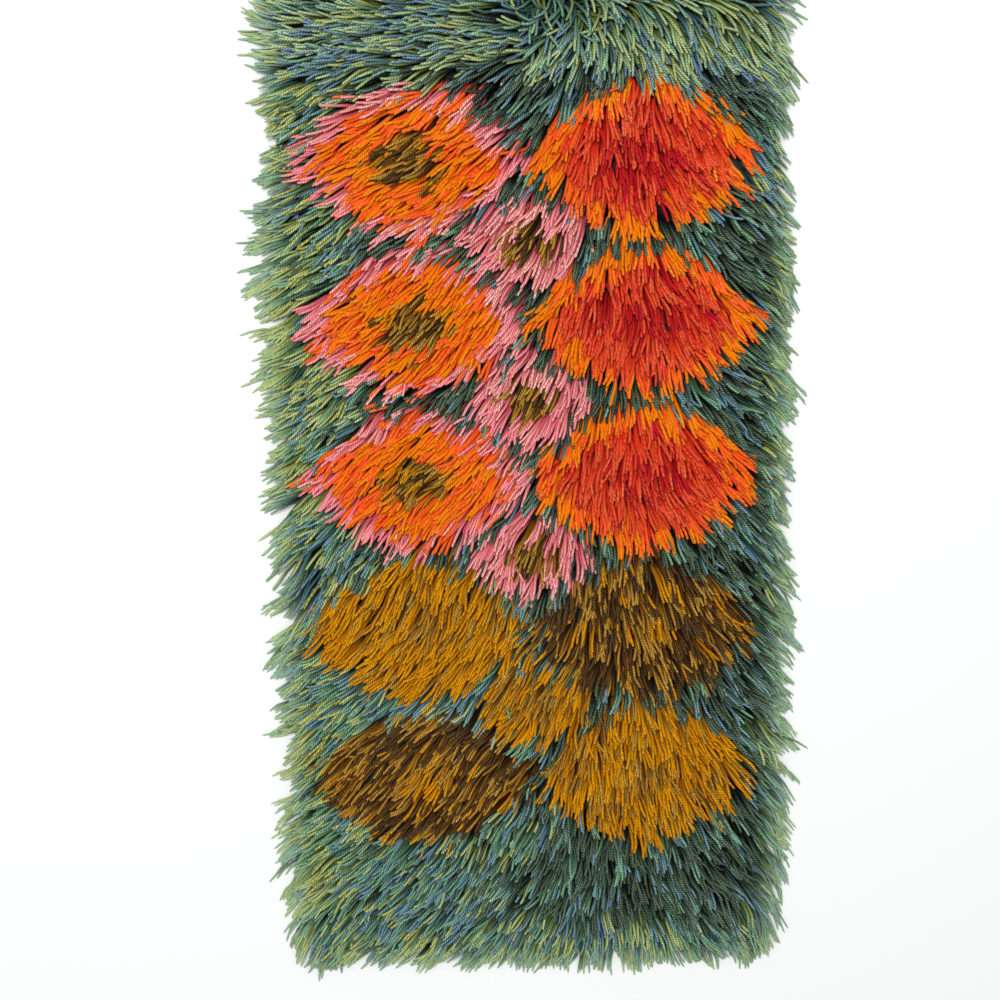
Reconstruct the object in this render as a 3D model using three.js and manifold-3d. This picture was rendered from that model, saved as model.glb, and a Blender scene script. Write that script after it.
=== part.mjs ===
// A rya rug lying flat: a woven ground cloth and the long wool pile knotted into it.
// Units are millimetres. +Z is up, +Y is the rug's top end, and the pile leans towards -Y.
// The origin is on the floor, under the middle of the whole rug.
import * as THREE from "three";
import { mergeVertices } from "three/addons/utils/BufferGeometryUtils.js";
import Module from "manifold-3d";

// The ground cloth, without its pile
const clothWidth = 428;
const clothLength = 940;
const clothThickness = 3;
const clothRipple = 1.6; // how far the hand-woven edges wander
const clothEdgeSteps = 40;
const leftSwell = 2; // how far each long edge bows out at its middle
const rightSwell = 6;

// The pile's slab, which the locks at the rim grow from
const seatGap = 0.3; // between the cloth and the pile
const slabOverhang = 9; // past the cloth's edge
const slabTop = 25; // above the floor, at a lock's tip
const slabRimTop = 11; // above the floor, at the slab's edge
const rimSlope = 34; // how far in from the edge the pile reaches its full height
const cornerRounding = 8; // how far the slab's ends draw in at the corners
const lumpHeight = 4.5; // broad lumps, where the pile parts and heaps up
const fullBand = { middle: 402, halfWidth: 42, height: 5 }; // the fuller band near the top end

// Rows of locks on the slab's top, each lying over the next like shingles
const lockRowPitch = 27;
const lockColumns = 28;
const lockStep = 5; // from a row's tips down to the next row, along the rug
const lockDrop = 5; // the same, in height
const lockStagger = 4; // how far every second lock reaches past its neighbours
const lockUneven = { across: 2.4, along: 2.2, height: 1.9 };
const rowBow = 34; // the locks fan out to both long edges, so a row's ends rise by this

// The locks at the rim, which spread over the edge and lie level on the floor
const lockRootDepth = 13; // how far inside the slab's edge a lock starts
const lockKnee = 8; // where it reaches the floor, past the slab's edge
const lockBack = { root: 10, knee: 10, tip: 2.4 }; // its height above its flat underside
const lockUnderside = { root: 7, knee: 0, tip: 0 };
const lockTaper = { root: 0.9, knee: 0.86, tip: 0.3 }; // its width, as a share of its place on the rim
const tipUneven = 6;

// One row for each side of the rug. Reach is past the slab's edge, and a lean is an angle
// from straight down the rug: left leans are negative, and 180 is straight up the rug.
const rimSides = [
  { side: "left", locks: 74, reach: 25, leanAtTop: -80, leanAtBottom: -38 },
  { side: "right", locks: 74, reach: 23, leanAtTop: 74, leanAtBottom: 36 },
  { side: "bottom", locks: 42, reach: 21, leanAtLeft: -26, leanAtRight: 22 },
  { side: "top", locks: 36, reach: 13, leanAtLeft: -150, leanAtRight: 152 },
];
const leanUneven = 4; // degrees
const cornerSkip = 0.012; // the share of a side left free at each end

const woolGround = 0x6d6a52;
const woolPile = 0x5f7a5c;

const wasm = await Module();
wasm.setup();

// A repeatable run of random numbers from -1 to 1
function randomRun(seed) {
  let state = seed;
  return () => {
    state = (state * 48271) % 2147483647;
    return (2 * state) / 2147483647 - 1;
  };
}

// The cloth's half width at a height y on the rug, on the left or the right
function clothHalfWidth(y, side) {
  const swell = side === "left" ? leftSwell : rightSwell;
  const phase = side === "left" ? 0.4 : 2.1;
  const along = y / clothLength;
  const ripple = clothRipple * Math.sin(2 * Math.PI * 3.2 * along + phase);
  return clothWidth / 2 + swell * Math.cos(Math.PI * along) + ripple;
}

// The slab's edge follows the cloth's, and draws in at the corners
function slabEdge(y, side) {
  const share = Math.abs(y) / (clothLength / 2 + slabOverhang);
  return clothHalfWidth(y, side) + slabOverhang - cornerRounding * share ** 26;
}

// The height of the pile's top, before its rows of locks
function pileTop(x, y) {
  const waves =
    Math.sin(x / 47 + 1.3) * Math.cos(y / 61 - 0.6) +
    0.6 * Math.sin(x / 29 - y / 53) +
    0.4 * Math.cos(x / 83 + y / 37);
  const band = Math.exp(-(((y - fullBand.middle) / fullBand.halfWidth) ** 2));
  return slabTop + (lumpHeight * waves) / 2 + fullBand.height * band;
}

// The pile slopes down to its rim
function slopeToRim(x, y, top) {
  const halfLength = clothLength / 2 + slabOverhang;
  const side = x < 0 ? "left" : "right";
  const inward = Math.min(slabEdge(y, side) - Math.abs(x), halfLength - Math.abs(y));
  const share = THREE.MathUtils.smoothstep(inward, -rimSlope * 0.35, rimSlope);
  return slabRimTop + (top - slabRimTop) * share;
}

function clothGeometry() {
  const shape = new THREE.Shape();
  const yAt = (step) => clothLength * (step / clothEdgeSteps - 0.5);
  shape.moveTo(clothHalfWidth(yAt(0), "right"), yAt(0));
  for (let step = 1; step <= clothEdgeSteps; step += 1) {
    shape.lineTo(clothHalfWidth(yAt(step), "right"), yAt(step));
  }
  for (let step = clothEdgeSteps; step >= 0; step -= 1) {
    shape.lineTo(-clothHalfWidth(yAt(step), "left"), yAt(step));
  }
  return new THREE.ExtrudeGeometry(shape, { depth: clothThickness, bevelEnabled: false });
}

// Two lines of points run across the rug for each row of locks: one along the tips,
// and one just past them, where the next row shows.
function slabRows() {
  const halfLength = clothLength / 2 + slabOverhang;
  const lines = [{ y: -halfLength, lift: 0, stagger: 0 }];
  const rowCount = Math.round((2 * halfLength) / lockRowPitch);
  for (let row = 1; row < rowCount; row += 1) {
    const y = -halfLength + (2 * halfLength * row) / rowCount;
    const stagger = row % 2 === 0 ? lockStagger : -lockStagger;
    lines.push({ y: y - lockStep / 2, lift: -lockDrop / 2, stagger });
    lines.push({ y: y + lockStep / 2, lift: lockDrop / 2, stagger });
  }
  lines.push({ y: halfLength, lift: 0, stagger: 0 });
  return lines;
}

// How far a row's line rises at x, none at the rug's two ends
function bowAt(x, y) {
  const halfLength = clothLength / 2 + slabOverhang;
  const share = Math.abs(x) / (clothWidth / 2);
  return rowBow * share ** 2 * (1 - (y / halfLength) ** 4);
}

// A closed slab: its lumpy top, its rim, and a flat underside fanned from one middle point
function slabGeometry() {
  const random = randomRun(2027);
  const positions = [];
  const faces = [];
  const lines = slabRows();
  const across = lockColumns + 1;
  for (const line of lines) {
    for (let column = 0; column < across; column += 1) {
      const loose = column > 0 && column < lockColumns && line.lift !== 0 ? 1 : 0;
      const spread = (2 * column) / lockColumns - 1;
      let y = line.y + bowAt((spread * clothWidth) / 2, line.y);
      const edge = slabEdge(y, spread < 0 ? "left" : "right");
      const x = spread * edge + loose * lockUneven.across * random();
      y += loose * (line.stagger * (column % 2 === 0 ? 1 : -1) + lockUneven.along * random());
      const lift = loose * (line.lift + lockUneven.height * random());
      positions.push(x, y, slopeToRim(x, y, pileTop(x, y) + lift));
    }
  }
  for (let row = 0; row + 1 < lines.length; row += 1) {
    for (let column = 0; column < lockColumns; column += 1) {
      const corner = row * across + column;
      faces.push(corner, corner + 1, corner + across + 1);
      faces.push(corner, corner + across + 1, corner + across);
    }
  }

  const rim = [];
  const lastRow = (lines.length - 1) * across;
  for (let column = 0; column < lockColumns; column += 1) rim.push(column);
  for (let row = 0; row + 1 < lines.length; row += 1) rim.push(row * across + lockColumns);
  for (let column = lockColumns; column > 0; column -= 1) rim.push(lastRow + column);
  for (let row = lines.length - 1; row > 0; row -= 1) rim.push(row * across);

  const underside = clothThickness + seatGap;
  const firstLow = positions.length / 3;
  for (const top of rim) {
    positions.push(positions[3 * top], positions[3 * top + 1], underside);
  }
  const middle = positions.length / 3;
  positions.push(0, 0, underside);
  rim.forEach((top, place) => {
    const next = (place + 1) % rim.length;
    faces.push(top, firstLow + place, firstLow + next);
    faces.push(top, firstLow + next, rim[next]);
    faces.push(firstLow + place, middle, firstLow + next);
  });

  const geometry = new THREE.BufferGeometry();
  geometry.setAttribute("position", new THREE.Float32BufferAttribute(positions, 3));
  geometry.setIndex(faces);
  return geometry;
}

// A lock of yarn: three sections of three corners, with a flat underside and a ridged back.
// It starts inside the slab, comes down past its edge, and lies level on the floor from there.
function lockGeometry(root, lean, width, depth, knee, tip) {
  const along = new THREE.Vector2(Math.sin(lean), -Math.cos(lean));
  const across = new THREE.Vector2(-along.y, along.x);
  const positions = [];
  const stations = [
    { at: -depth, part: "root" },
    { at: knee, part: "knee" },
    { at: tip, part: "tip" },
  ];
  for (const { at, part } of stations) {
    const centre = root.clone().addScaledVector(along, at);
    const left = centre.clone().addScaledVector(across, (width * lockTaper[part]) / 2);
    const right = centre.clone().addScaledVector(across, (-width * lockTaper[part]) / 2);
    positions.push(left.x, left.y, lockUnderside[part]);
    positions.push(right.x, right.y, lockUnderside[part]);
    positions.push(centre.x, centre.y, lockUnderside[part] + lockBack[part]);
  }
  const faces = [0, 1, 2, 6, 8, 7];
  for (const start of [0, 3]) {
    for (let corner = 0; corner < 3; corner += 1) {
      const next = (corner + 1) % 3;
      faces.push(start + corner, start + 3 + corner, start + 3 + next);
      faces.push(start + corner, start + 3 + next, start + next);
    }
  }
  const geometry = new THREE.BufferGeometry();
  geometry.setAttribute("position", new THREE.Float32BufferAttribute(positions, 3));
  geometry.setIndex(faces);
  return geometry;
}

// Where a lock leaves the slab's edge, the outward direction there, and how it leans
function rimPlace(row, share) {
  const halfLength = clothLength / 2 + slabOverhang;
  const { lerp } = THREE.MathUtils;
  if (row.side === "left" || row.side === "right") {
    const y = lerp(halfLength, -halfLength, share);
    const sign = row.side === "left" ? -1 : 1;
    return {
      root: new THREE.Vector2(sign * slabEdge(y, row.side), y),
      outward: new THREE.Vector2(sign, 0),
      lean: lerp(row.leanAtTop, row.leanAtBottom, share),
      sideLength: 2 * halfLength,
    };
  }
  const sign = row.side === "top" ? 1 : -1;
  const y = sign * halfLength;
  // The top end's leans run through 180, straight up the rug
  const turn = row.side === "top" ? 360 : 0;
  const lean = lerp(row.leanAtLeft + turn, row.leanAtRight, share);
  return {
    root: new THREE.Vector2(lerp(-slabEdge(y, "left"), slabEdge(y, "right"), share), y),
    outward: new THREE.Vector2(0, sign),
    lean,
    sideLength: clothWidth + 2 * (slabOverhang - cornerRounding),
  };
}

function rimLocks() {
  const random = randomRun(4441);
  const locks = [];
  for (const row of rimSides) {
    for (let count = 0; count < row.locks; count += 1) {
      const share = THREE.MathUtils.lerp(cornerSkip, 1 - cornerSkip, (count + 0.5) / row.locks);
      const place = rimPlace(row, share);
      const lean = THREE.MathUtils.degToRad(place.lean + leanUneven * random());
      const along = new THREE.Vector2(Math.sin(lean), -Math.cos(lean));
      // A slanting lock is longer and narrower, so that it reaches as far and clears the next
      const slant = 1 / Math.max(0.55, along.dot(place.outward));
      const width = place.sideLength / row.locks / slant;
      const reach = row.reach + tipUneven * random();
      const [depth, knee, tip] = [lockRootDepth, Math.min(lockKnee, 0.6 * reach), reach].map(
        (distance) => distance * slant,
      );
      locks.push(lockGeometry(place.root, lean, width, depth, knee, tip));
    }
  }
  return locks;
}

// three.js geometry to a solid, and back
function solidOf(geometry) {
  const bare = geometry.clone();
  bare.deleteAttribute("normal");
  bare.deleteAttribute("uv");
  const merged = mergeVertices(bare, 1e-4);
  const vertProperties = new Float32Array(merged.attributes.position.array);
  const triVerts = new Uint32Array(merged.index.array);
  return new wasm.Manifold(new wasm.Mesh({ numProp: 3, vertProperties, triVerts }));
}

function geometryOf(solid) {
  const mesh = solid.getMesh();
  const geometry = new THREE.BufferGeometry();
  geometry.setAttribute("position", new THREE.BufferAttribute(mesh.vertProperties, 3));
  geometry.setIndex(new THREE.BufferAttribute(mesh.triVerts, 1));
  geometry.computeVertexNormals();
  return geometry;
}

function pileGeometry() {
  let pile = solidOf(slabGeometry());
  for (const lock of rimLocks()) pile = pile.add(solidOf(lock));
  return geometryOf(pile);
}

function wool(color) {
  return new THREE.MeshStandardMaterial({ color, roughness: 0.95, metalness: 0 });
}

const ground = new THREE.Mesh(clothGeometry(), wool(woolGround));
ground.name = "ground_weave";

const pile = new THREE.Mesh(pileGeometry(), wool(woolPile));
pile.name = "shag_pile";

const rug = new THREE.Group();
rug.add(ground, pile);

// The origin is moved under the middle of the whole rug, locks and all
const middle = new THREE.Box3().setFromObject(rug).getCenter(new THREE.Vector3());
rug.position.set(-middle.x, -middle.y, 0);

export default rug;
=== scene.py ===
import math

import bpy
import numpy as np
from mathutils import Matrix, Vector


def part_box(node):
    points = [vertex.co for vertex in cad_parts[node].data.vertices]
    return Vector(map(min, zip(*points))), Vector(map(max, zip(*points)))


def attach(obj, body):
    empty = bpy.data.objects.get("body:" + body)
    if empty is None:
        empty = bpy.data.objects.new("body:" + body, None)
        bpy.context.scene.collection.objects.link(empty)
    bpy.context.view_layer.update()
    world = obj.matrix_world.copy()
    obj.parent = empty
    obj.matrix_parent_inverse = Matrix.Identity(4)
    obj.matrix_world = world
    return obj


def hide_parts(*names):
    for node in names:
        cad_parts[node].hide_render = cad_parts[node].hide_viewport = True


# A rya rug lying flat on a pale floor: plied wool strands knotted in rows on a ground cloth.
# Everything is in metres, with the rug's top end towards +Y and the pile leaning towards -Y.

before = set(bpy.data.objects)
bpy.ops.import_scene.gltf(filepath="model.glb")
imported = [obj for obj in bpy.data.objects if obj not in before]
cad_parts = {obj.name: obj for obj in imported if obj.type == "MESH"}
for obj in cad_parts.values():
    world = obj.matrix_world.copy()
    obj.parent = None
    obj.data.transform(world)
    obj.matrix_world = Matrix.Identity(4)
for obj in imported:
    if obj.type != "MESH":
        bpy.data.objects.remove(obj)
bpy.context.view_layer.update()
mm = 0.001
clothLow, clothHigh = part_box("ground_weave")
clothMiddle = (clothLow + clothHigh) / 2
print("frame loaded, cloth middle", [round(value, 4) for value in clothMiddle])


# Small helpers for node trees

def addNode(tree, kind, **settings):
    node = tree.nodes.new(kind)
    for name, value in settings.items():
        setattr(node, name, value)
    return node


def plug(tree, source, socket):
    # a number or colour is set on the socket, an output is linked to it
    if isinstance(source, bpy.types.NodeSocket):
        tree.links.new(source, socket)
    else:
        socket.default_value = source


def setInputs(node, settings):
    for title, value in settings.items():
        node.inputs[title].default_value = value


def calc(tree, operation, *values):
    node = addNode(tree, "ShaderNodeMath", operation=operation)
    for value, socket in zip(values, node.inputs):
        plug(tree, value, socket)
    return node.outputs[0]


def mixColour(tree, share, first, second):
    node = addNode(tree, "ShaderNodeMix", data_type="RGBA")
    plug(tree, share, node.inputs[0])
    plug(tree, first, node.inputs[6])
    plug(tree, second, node.inputs[7])
    return node.outputs[2]


def spread(tree, value, low, high, toLow=0.0, toHigh=1.0, kind="LINEAR"):
    node = addNode(tree, "ShaderNodeMapRange", interpolation_type=kind)
    for source, socket in zip((value, low, high, toLow, toHigh), node.inputs):
        plug(tree, source, socket)
    return node.outputs[0]


def scaled(tree, colour, factor):
    node = addNode(tree, "ShaderNodeVectorMath", operation="SCALE")
    plug(tree, colour, node.inputs[0])
    plug(tree, factor, node.inputs["Scale"])
    return node.outputs[0]


def attribute(tree, name):
    return addNode(tree, "ShaderNodeAttribute", attribute_name=name).outputs["Fac"]


def joinVector(tree, *parts):
    node = addNode(tree, "ShaderNodeCombineXYZ")
    for value, socket in zip(parts, node.inputs):
        plug(tree, value, socket)
    return node.outputs[0]


def splitVector(tree, place):
    node = addNode(tree, "ShaderNodeSeparateXYZ")
    plug(tree, place, node.inputs[0])
    return node.outputs


def noise(tree, place, scale, detail):
    node = addNode(tree, "ShaderNodeTexNoise")
    plug(tree, place, node.inputs["Vector"])
    setInputs(node, {"Scale": scale, "Detail": detail})
    return node.outputs[0]


def addBump(tree, height, shader):
    # the height is in millimetres
    bump = addNode(tree, "ShaderNodeBump")
    bump.inputs["Distance"].default_value = mm
    plug(tree, height, bump.inputs["Height"])
    plug(tree, bump.outputs[0], shader.inputs["Normal"])


def newGroup(name, kind, inputs, outputs):
    # an empty node group with named sockets, and the identifier of each
    tree = bpy.data.node_groups.new(name, kind)
    sockets = {}
    for way, wanted in (("INPUT", inputs), ("OUTPUT", outputs)):
        for title, form in wanted.items():
            socket = tree.interface.new_socket(title, in_out=way, socket_type="NodeSocket" + form)
            sockets[title] = socket.identifier
    given = addNode(tree, "NodeGroupInput").outputs
    made = addNode(tree, "NodeGroupOutput").inputs
    return tree, given, made, sockets


def linear(red, green, blue):
    # screen colour from 0 to 255 into Blender's linear colour
    parts = np.array([red, green, blue]) / 255
    parts = np.where(parts <= 0.04045, parts / 12.92, ((parts + 0.055) / 1.055) ** 2.4)
    return (*parts.tolist(), 1.0)


# Camera: above the rug and a little past its top end, as the picture was taken

cameraView = {
    "place": (-0.039, 0.278, 1.5),
    "tilt": -10.94,           # degrees, towards the bottom end
    "sideways": -0.50,
    "roll": -0.96,
    "focalPixels": 1568,
    "imagePixels": 1000,
    "sensor": 36,
}


def placeCamera(view):
    data = bpy.data.cameras.new("camera")
    data.sensor_width = view["sensor"]
    data.lens = view["sensor"] * view["focalPixels"] / view["imagePixels"]
    camera = bpy.data.objects.new("camera", data)
    camera.location = view["place"]
    camera.rotation_euler = [math.radians(view[turn]) for turn in ("tilt", "sideways", "roll")]
    bpy.context.collection.objects.link(camera)
    bpy.context.scene.camera = camera


placeCamera(cameraView)


# Floor and light

studio = {
    "floorSize": 24.0,
    "floorColour": (240, 242, 241),
    "floorRoughness": 0.9,
    "floorDrop": 0.2 * mm,    # just under the rug
    "keyPlace": (-0.6, 1.3, 3.9),
    "keySize": 1.6,
    "keyPower": 140,
    "skyStrength": 0.46,
}


def makeStudio(settings):
    half, drop = settings["floorSize"] / 2, -settings["floorDrop"]
    mesh = bpy.data.meshes.new("floor")
    corners = [(-half, -half, drop), (half, -half, drop), (half, half, drop), (-half, half, drop)]
    mesh.from_pydata(corners, [], [(0, 1, 2, 3)])
    floor = bpy.data.objects.new("floor", mesh)
    bpy.context.collection.objects.link(floor)
    material = bpy.data.materials.new("pale_floor")
    material.use_nodes = True
    shader = material.node_tree.nodes["Principled BSDF"]
    setInputs(shader, {"Base Color": linear(*settings["floorColour"]),
                       "Roughness": settings["floorRoughness"]})
    mesh.materials.append(material)

    key = bpy.data.lights.new("key_light", "AREA")
    key.energy = settings["keyPower"]
    key.size = settings["keySize"]
    lamp = bpy.data.objects.new("key_light", key)
    lamp.location = settings["keyPlace"]
    lamp.rotation_euler = (-Vector(settings["keyPlace"])).to_track_quat("-Z", "Y").to_euler()
    bpy.context.collection.objects.link(lamp)

    world = bpy.data.worlds.new("soft_sky")
    world.use_nodes = True
    sky = world.node_tree.nodes["Background"]
    setInputs(sky, {"Color": (1, 1, 1, 1), "Strength": settings["skyStrength"]})
    bpy.context.scene.world = world
    bpy.context.scene.view_settings.view_transform = "Standard"


makeStudio(studio)
print("camera, floor and light are ready")


# Yarns: one plied wool for each colour

yarns = {
    # colours are from 0 to 255, and the painted shade colour stands in for the shade between the plies
    # and down in the pile;
    # the dye depth runs from a yarn's deepest to its palest strand
    "lime": {"colour": (202, 214, 150), "paintedShade": (98, 114, 56), "hueRange": 0.13,
             "shadeRange": 0.45, "dyeDepth": (1.40, 0.68)},
    "sea_green": {"colour": (144, 188, 162), "paintedShade": (52, 84, 60), "hueRange": 0.10,
                  "shadeRange": 0.45, "dyeDepth": (1.15, 0.86)},
    "blue": {"colour": (130, 168, 184), "paintedShade": (44, 74, 84), "hueRange": 0.035,
             "shadeRange": 0.45, "dyeDepth": (1.05, 0.85)},
    "deep_green": {"colour": (100, 126, 100), "paintedShade": (4, 10, 5), "hueRange": 0.08,
                   "shadeRange": 0.90, "dyeDepth": (1.10, 0.80)},
    "orange": {"colour": (233, 113, 46), "paintedShade": (244, 90, 26), "hueRange": 0.02,
               "shadeRange": 0.30, "dyeDepth": (1.02, 0.99)},
    "amber": {"colour": (227, 143, 28), "paintedShade": (238, 115, 12), "hueRange": 0.02,
              "shadeRange": 0.30, "dyeDepth": (1.03, 1.00)},
    "red": {"colour": (226, 104, 66), "paintedShade": (210, 46, 22), "hueRange": 0.02,
            "shadeRange": 0.35, "dyeDepth": (1.04, 0.98)},
    "crimson": {"colour": (212, 48, 48), "paintedShade": (158, 12, 14), "hueRange": 0.02,
                "shadeRange": 0.40, "dyeDepth": (1.04, 0.98)},
    "pink": {"colour": (255, 186, 180), "paintedShade": (204, 88, 98), "hueRange": 0.07,
             "shadeRange": 0.35, "dyeDepth": (1.22, 0.80)},
    "ochre": {"colour": (228, 160, 30), "paintedShade": (158, 96, 4), "hueRange": 0.02,
              "shadeRange": 0.50, "dyeDepth": (1.05, 1.00)},
    "olive": {"colour": (194, 152, 66), "paintedShade": (110, 68, 14), "hueRange": 0.03,
              "shadeRange": 0.70, "dyeDepth": (1.08, 0.96)},
    "brown": {"colour": (104, 76, 42), "paintedShade": (40, 20, 4), "hueRange": 0.03,
              "shadeRange": 0.60, "dyeDepth": (1.08, 0.92)},
}
wool = {
    "plies": 2,
    "twist": 5.2 * mm,        # one full turn of the plies
    "twistUneven": 0.08,
    "twistChanges": 190.0,    # in a metre of yarn
    "crestPower": 0.8,        # below 1 a ply is broader than the groove beside it
    "plyShade": 0.16,         # the plies of a strand are never quite the same
    "plyHue": 0.35,
    "groove": 0.80,           # how much painted shade colour goes into the grooves between the plies
    "plyHeight": 0.45,        # millimetres
    "fibreHeight": 0.12,
    "fibreShade": 0.45,
    "fibresAround": 9.0,
    "fibresAlong": 900.0,     # in a metre of yarn
    "noiseSteps": (91.0, 57.0),   # take each strand to a place of its own in the two noises
    "roughness": 0.88,
    "sheen": 0.02,
    "sheenRoughness": 0.45,
    "gloss": 0.07,
    "rootShade": 0.0,         # painted shade: down at the knots only the painted shade colour is left
    "shadeFrom": 0.35,        # between these shares of a strand's length the painted shade fades out
    "shadeTo": 0.90,
    "sideShade": 0.06,        # painted shade the same way on a strand's sides, which lie against its neighbours
    "sideFrom": 0.25,         # how far a face points up there, 1 is straight up
    "sideTo": 0.96,
    "tipFrom": 0.88,          # but the cut tips are painted as light as the top
    "lowLight": 0.45,         # painted light left on the strands that lie lowest
    "lowShades": (0.05, 0.5),     # it starts below the second shade and is full below the first
    "rimLightColour": (200, 234, 180),
    "rimLightShares": (0.08, 0.54),  # painted light: outside the cloth, light comes through the thin fringe and its tips
    "rimLightFrom": 0.6,
    "rimLight": 0.24,
}


def windPlies(tree, shade, hue, values):
    # the plies wind round the strand: around is the share of a turn, along is in metres of yarn
    yarnMap = addNode(tree, "ShaderNodeUVMap", uv_map="yarnMap")
    around, along = splitVector(tree, yarnMap.outputs[0])[:2]
    place = joinVector(tree, calc(tree, "MULTIPLY", along, values["twistChanges"]),
                       calc(tree, "MULTIPLY", shade, values["noiseSteps"][0]))
    wander = spread(tree, noise(tree, place, 1.0, 0.0), 0.0, 1.0,
                    -values["twistUneven"], values["twistUneven"])
    turns = calc(tree, "ADD", around, calc(tree, "MULTIPLY", along, 1 / values["twist"]))
    turns = calc(tree, "MULTIPLY", calc(tree, "ADD", turns, wander), values["plies"])
    wave = calc(tree, "COSINE", calc(tree, "MULTIPLY", turns, 2 * math.pi))
    crest = calc(tree, "POWER", spread(tree, wave, -1.0, 1.0), values["crestPower"])
    which = calc(tree, "MODULO", calc(tree, "ROUND", turns), values["plies"])
    plyTint = calc(tree, "MULTIPLY", spread(tree, which, 0.0, values["plies"] - 1.0, -1.0, 1.0),
                   spread(tree, hue, 0.0, 1.0, -1.0, 1.0))
    return around, along, crest, plyTint


def layFibres(tree, around, along, shade, values):
    # fibres lie along the plies
    place = joinVector(tree, calc(tree, "MULTIPLY", around, values["fibresAround"]),
                       calc(tree, "MULTIPLY", along, values["fibresAlong"]),
                       calc(tree, "MULTIPLY", shade, values["noiseSteps"][1]))
    return noise(tree, place, 1.0, 2.0)


def dyeStrands(tree, given, shade, hue, plyTint, fibre, values):
    # each strand has its own shade, partly a tone of its own at random and partly painted light on the
    # strands that lie high, and a small turn of hue
    plyHue = calc(tree, "MULTIPLY", plyTint, values["plyHue"])
    hueShift = calc(tree, "ADD", calc(tree, "SUBTRACT", hue, 0.5), plyHue)
    hueShift = calc(tree, "MULTIPLY", hueShift, given["Hue Range"])
    shadeShift = calc(tree, "MULTIPLY", calc(tree, "SUBTRACT", shade, 0.5), given["Shade Range"])
    fibreShift = calc(tree, "SUBTRACT", fibre, 0.5)
    fibreShift = calc(tree, "MULTIPLY", fibreShift, values["fibreShade"])
    fibreShift = calc(tree, "ADD", fibreShift, calc(tree, "MULTIPLY", plyTint, values["plyShade"]))
    dyed = addNode(tree, "ShaderNodeHueSaturation")
    dye = spread(tree, hue, 0.0, 1.0, given["Deepest Dye"], given["Palest Dye"])
    plug(tree, dye, dyed.inputs["Saturation"])
    plug(tree, calc(tree, "ADD", hueShift, 0.5), dyed.inputs["Hue"])
    plug(tree, calc(tree, "ADD", calc(tree, "ADD", shadeShift, fibreShift), 1.0), dyed.inputs["Value"])
    plug(tree, given["Yarn Colour"], dyed.inputs["Color"])
    return dyed.outputs[0]


def paintedLight(tree, share, shade, rim, crest, values):
    # painted shade: little light gets between the plies, between the strands and down to the knots; the
    # fringe gets painted light
    depth = spread(tree, share, values["shadeFrom"], values["shadeTo"],
                   values["rootShade"], 1.0, "SMOOTHSTEP")
    side = spread(tree, attribute(tree, "upward"), values["sideFrom"], values["sideTo"],
                  values["sideShade"], 1.0, "SMOOTHSTEP")
    tip = spread(tree, share, values["tipFrom"], 1.0, 0.0, 1.0, "SMOOTHSTEP")
    side = calc(tree, "MAXIMUM", side, tip)
    groove = spread(tree, crest, 0.0, 1.0, 1 - values["groove"], 1.0)
    lit = calc(tree, "MULTIPLY", calc(tree, "MULTIPLY", depth, side), groove)
    lit = calc(tree, "MULTIPLY", lit, spread(tree, shade, *values["lowShades"], values["lowLight"], 1.0))
    return calc(tree, "MAXIMUM", lit, calc(tree, "MULTIPLY", rim, values["rimLight"]))


def makePliedWool(values):
    inputs = {"Yarn Colour": "Color", "Painted Shade Colour": "Color", "Shade Range": "Float",
              "Hue Range": "Float", "Deepest Dye": "Float", "Palest Dye": "Float"}
    outputs = {"Colour": "Color", "Height": "Float"}
    tree, given, made = newGroup("pliedWool", "ShaderNodeTree", inputs, outputs)[:3]
    shade, hue, share, rim = [attribute(tree, name) for name in ("shade", "hue", "share", "rim")]
    around, along, crest, plyTint = windPlies(tree, shade, hue, values)
    fibre = layFibres(tree, around, along, shade, values)
    dyed = dyeStrands(tree, given, shade, hue, plyTint, fibre, values)
    lit = paintedLight(tree, share, shade, rim, crest, values)
    # painted shade: where little light is painted, the colour goes to the painted shade colour
    inside = mixColour(tree, lit, given["Painted Shade Colour"], dyed)
    # painted light through the fringe pales its tips
    pale = spread(tree, share, values["rimLightFrom"], 1.0, *values["rimLightShares"])
    pale = calc(tree, "MULTIPLY", rim, pale)
    plug(tree, mixColour(tree, pale, inside, linear(*values["rimLightColour"])), made["Colour"])

    height = calc(tree, "MULTIPLY", crest, values["plyHeight"])
    fuzz = calc(tree, "MULTIPLY", fibre, values["fibreHeight"])
    plug(tree, calc(tree, "ADD", height, fuzz), made["Height"])
    return tree


def makeYarnMaterial(name, yarn, group, values):
    material = bpy.data.materials.new("wool_" + name)
    material.use_nodes = True
    tree = material.node_tree
    shader = tree.nodes["Principled BSDF"]
    twisted = addNode(tree, "ShaderNodeGroup", node_tree=group)
    deepest, palest = yarn["dyeDepth"]
    setInputs(twisted, {"Yarn Colour": linear(*yarn["colour"]), "Painted Shade Colour": linear(*yarn["paintedShade"]),
                        "Shade Range": yarn["shadeRange"], "Hue Range": yarn["hueRange"],
                        "Deepest Dye": deepest, "Palest Dye": palest})
    plug(tree, twisted.outputs["Colour"], shader.inputs["Base Color"])
    addBump(tree, twisted.outputs["Height"], shader)
    setInputs(shader, {"Roughness": values["roughness"], "Specular IOR Level": values["gloss"],
                       "Sheen Weight": values["sheen"], "Sheen Roughness": values["sheenRoughness"]})
    return material


pliedWool = makePliedWool(wool)
yarnMaterials = {name: makeYarnMaterial(name, yarn, pliedWool, wool) for name, yarn in yarns.items()}
print("wool is dyed:", len(yarnMaterials), "yarns")


# The ground cloth's outline, as wide as the CAD one at each place along it.
# The rug is planned round the middle of this cloth and moved to the frame's place at the end.

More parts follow.
